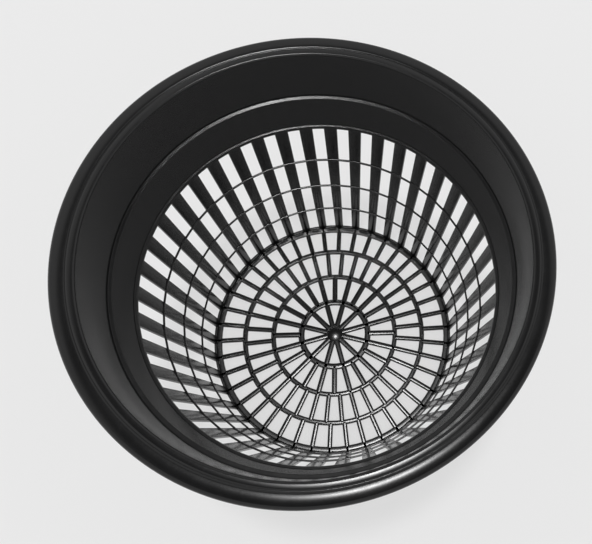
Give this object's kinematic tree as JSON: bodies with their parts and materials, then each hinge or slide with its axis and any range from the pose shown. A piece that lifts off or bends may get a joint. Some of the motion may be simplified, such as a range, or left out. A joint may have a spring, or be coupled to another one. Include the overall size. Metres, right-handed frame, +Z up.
{
  "type": "hydroponic net pot",
  "caption": "Round moulded plastic net pot with a brim, stacking ledges, a slotted tapered wall and a grille floor.",
  "frame": {"origin": "centre of the underside, where the pot stands", "axes": "+Z up along the pot's axis towards the open mouth, +X along one of the floor's six main spokes"},
  "size_m": [0.152, 0.152, 0.1208],
  "materials": {
    "plastic": "satin black, as moulded"
  },
  "bodies": {
    "root": {"net_pot": "plastic"}
  },
  "joints": []
}
